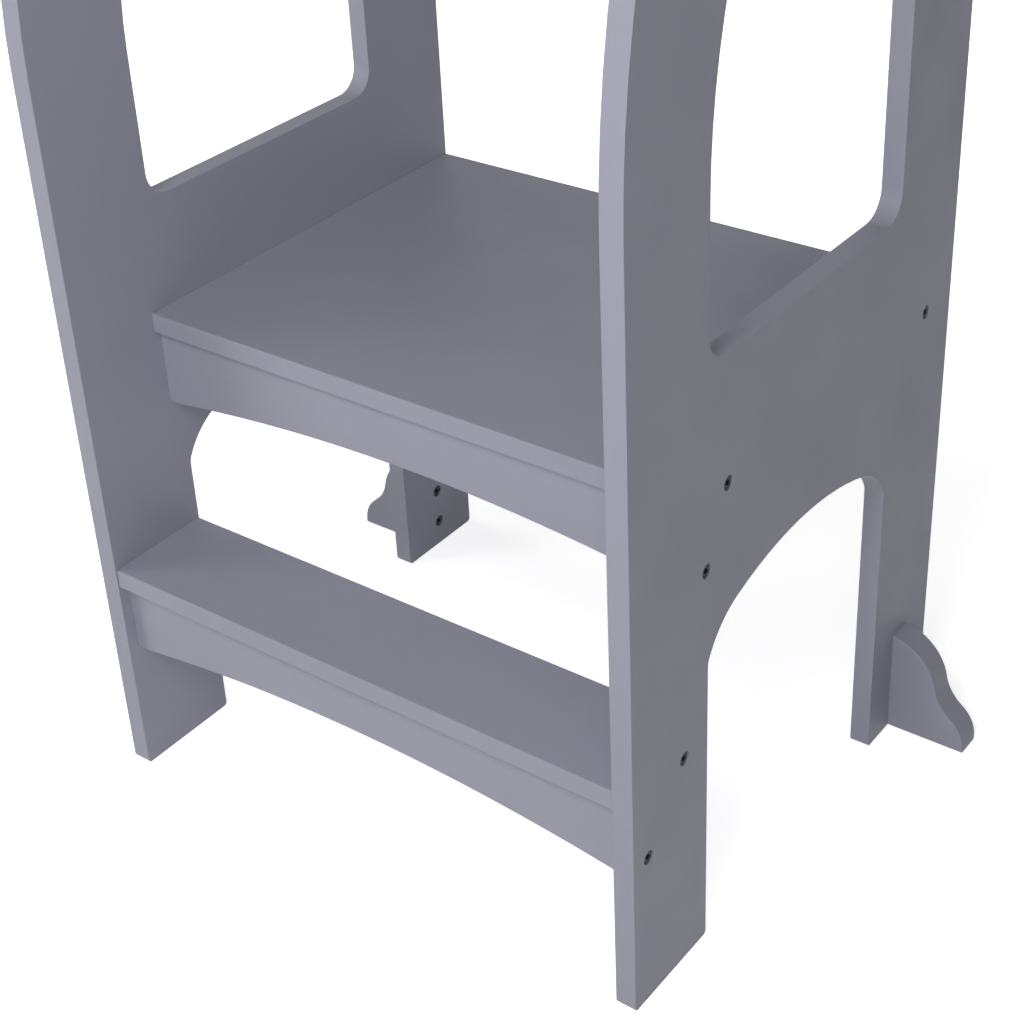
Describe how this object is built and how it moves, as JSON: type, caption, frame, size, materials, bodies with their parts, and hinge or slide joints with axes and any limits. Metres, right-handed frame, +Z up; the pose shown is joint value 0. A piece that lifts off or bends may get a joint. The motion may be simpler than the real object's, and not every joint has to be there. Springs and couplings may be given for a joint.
{
  "type": "toddler kitchen helper stool",
  "caption": "Standing stool for a small child at a kitchen worktop: step, railed platform, side panels with windows, arches and stabiliser feet.",
  "frame": {"origin": "on the floor, in the middle of the footprint", "axes": "+Z up, +X to the user's right seen from the climbing side, +Y from the climbing side to the rear"},
  "size_m": [0.619, 0.426, 0.925],
  "materials": {
    "painted_board": "satin grey lacquer on fibreboard",
    "screw_steel": "dark zinc-plated screw",
    "dowel_beech": "bare beech"
  },
  "bodies": {
    "root": {"left_side_panel": "painted_board", "right_side_panel": "painted_board", "platform_board": "painted_board", "platform_apron": "painted_board", "step_board": "painted_board", "step_apron": "painted_board", "front_guard_rail": "painted_board", "rear_guard_rail": "painted_board", "left_foot": "painted_board", "right_foot": "painted_board", "platform_board_screws": "screw_steel", "platform_apron_screws": "screw_steel", "step_board_screws": "screw_steel", "step_apron_screws": "screw_steel", "front_rail_screws": "screw_steel", "rear_rail_screws": "screw_steel", "foot_screws": "screw_steel", "platform_apron_dowels": "dowel_beech", "step_board_dowels": "dowel_beech", "step_apron_dowels": "dowel_beech"}
  },
  "joints": []
}
